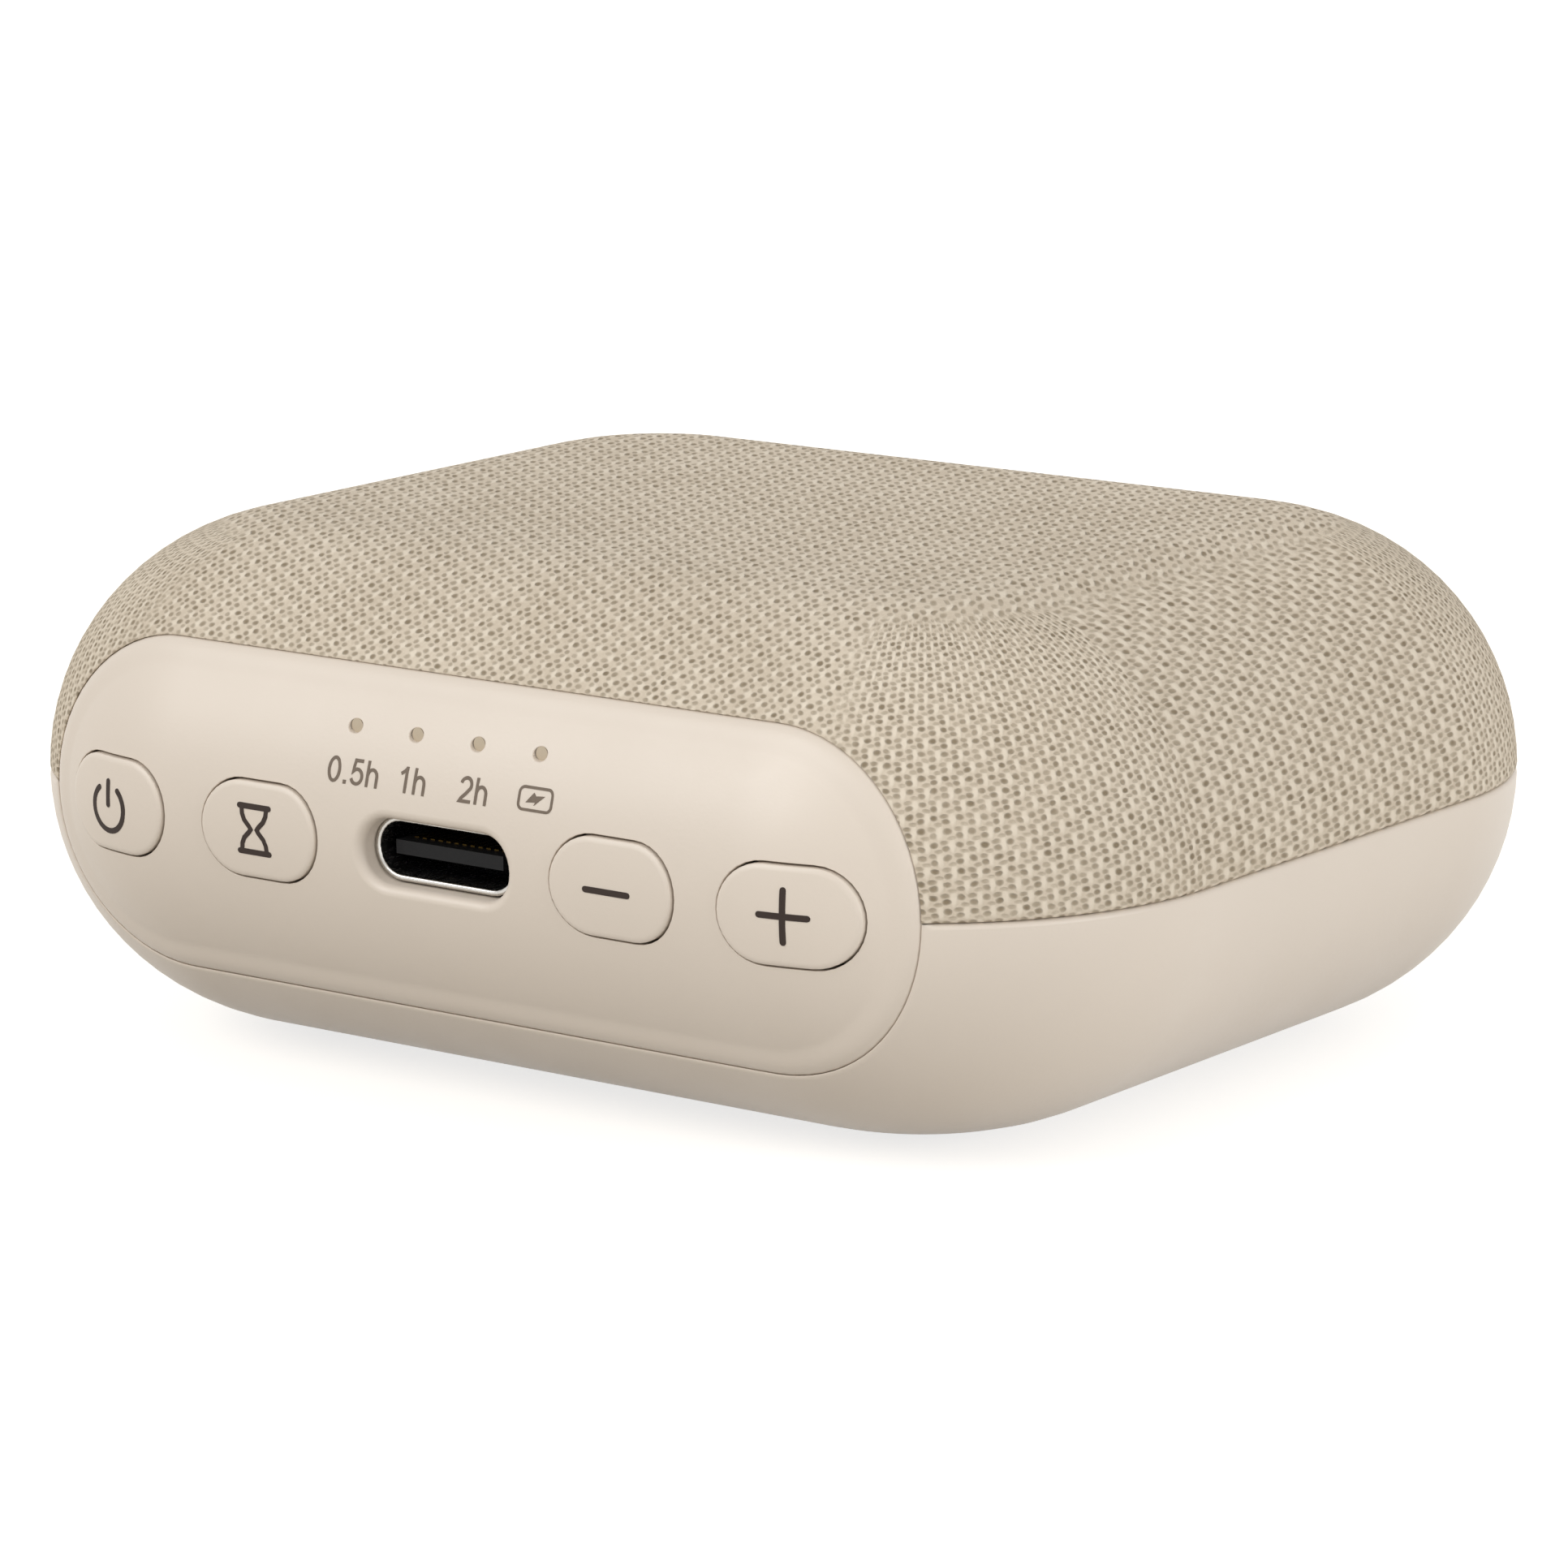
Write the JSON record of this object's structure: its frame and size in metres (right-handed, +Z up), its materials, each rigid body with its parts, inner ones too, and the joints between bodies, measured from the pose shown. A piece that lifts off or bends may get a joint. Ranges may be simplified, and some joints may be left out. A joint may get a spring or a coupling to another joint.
{
  "type": "white noise sound machine",
  "caption": "Palm-sized sound machine: rounded rectangular box with a cloth-covered speaker half, a plastic base half and a front panel of push buttons with a charging port.",
  "frame": {"origin": "under the middle of the body, on the surface that the feet stand on", "axes": "+X to the right along the long side, +Y to the back, +Z up; the button panel faces -Y"},
  "size_m": [0.068, 0.0574, 0.0269],
  "materials": {
    "shell_plastic": "satin",
    "button_plastic": "satin",
    "speaker_cloth": "woven",
    "frame_plastic": "moulded",
    "black_plastic": "moulded",
    "ferrite": "matt",
    "switch_metal": "stamped",
    "port_metal": "drawn",
    "contact_gold": "plated",
    "clear_plastic": "frosted",
    "lamp_plastic": "moulded",
    "board_laminate": "lacquered",
    "chip_ceramic": "fired",
    "battery_foil": "foil",
    "black_foam": "foam",
    "connector_plastic": "moulded",
    "red_insulation": "extruded",
    "black_insulation": "extruded",
    "speaker_steel": "pressed",
    "cone_paper": "pulp",
    "surround_rubber": "moulded",
    "spider_cloth": "woven",
    "coil_copper": "enamelled",
    "screw_steel": "blackened",
    "foot_rubber": "moulded"
  },
  "bodies": {
    "casing": {"bottom_shell": "shell_plastic", "top_frame": "frame_plastic", "grille_cloth": "speaker_cloth", "front_panel": "shell_plastic", "power_switch": "switch_metal", "timer_switch": "switch_metal", "volume_down_switch": "switch_metal", "volume_up_switch": "switch_metal", "usb_shell": "port_metal", "usb_tongue": "black_plastic", "usb_contacts": "contact_gold", "light_guide": "clear_plastic", "led_half_hour": "lamp_plastic", "led_one_hour": "lamp_plastic", "led_two_hours": "lamp_plastic", "led_battery": "lamp_plastic", "main_board": "board_laminate", "main_chip": "black_plastic", "memory_chip": "black_plastic", "amplifier_chip": "black_plastic", "charger_chip": "black_plastic", "crystal": "switch_metal", "power_inductor": "ferrite", "bulk_capacitor": "switch_metal", "small_capacitors": "chip_ceramic", "small_resistors": "chip_ceramic", "battery_cell": "battery_foil", "battery_pad": "black_foam", "battery_connector": "connector_plastic", "battery_lead_red": "red_insulation", "battery_lead_black": "black_insulation", "speaker_frame": "speaker_steel", "speaker_gasket": "black_foam", "speaker_surround": "surround_rubber", "speaker_spider": "spider_cloth", "speaker_magnet": "speaker_steel", "speaker_top_plate": "speaker_steel", "speaker_yoke": "speaker_steel", "speaker_terminals": "board_laminate", "speaker_connector": "connector_plastic", "speaker_lead_red": "red_insulation", "speaker_lead_black": "black_insulation", "case_screws": "screw_steel", "foot_front_left": "foot_rubber", "foot_front_right": "foot_rubber", "foot_back_left": "foot_rubber", "foot_back_right": "foot_rubber"},
    "power_button": {"power_button": "button_plastic", "power_plunger": "black_plastic"},
    "timer_button": {"timer_button": "button_plastic", "timer_plunger": "black_plastic"},
    "volume_down_button": {"volume_down_button": "button_plastic", "volume_down_plunger": "black_plastic"},
    "volume_up_button": {"volume_up_button": "button_plastic", "volume_up_plunger": "black_plastic"},
    "cone_group": {"speaker_cone": "cone_paper", "dust_cap": "cone_paper", "voice_coil": "coil_copper"}
  },
  "joints": [
    {"name": "power_press", "type": "slide", "parent": "casing", "child": "power_button", "axis": [0, 1, 0], "range_m": [0, 0.0003], "stiffness_N_per_m": 4000},
    {"name": "timer_press", "type": "slide", "parent": "casing", "child": "timer_button", "axis": [0, 1, 0], "range_m": [0, 0.0003], "stiffness_N_per_m": 4000},
    {"name": "volume_down_press", "type": "slide", "parent": "casing", "child": "volume_down_button", "axis": [0, 1, 0], "range_m": [0, 0.0003], "stiffness_N_per_m": 4000},
    {"name": "volume_up_press", "type": "slide", "parent": "casing", "child": "volume_up_button", "axis": [0, 1, 0], "range_m": [0, 0.0003], "stiffness_N_per_m": 4000},
    {"name": "cone_stroke", "type": "slide", "parent": "casing", "child": "cone_group", "axis": [0, 0, 1], "range_m": [-0.0006, 0.0006], "stiffness_N_per_m": 2000, "deforming": ["speaker_surround", "speaker_spider"]}
  ]
}
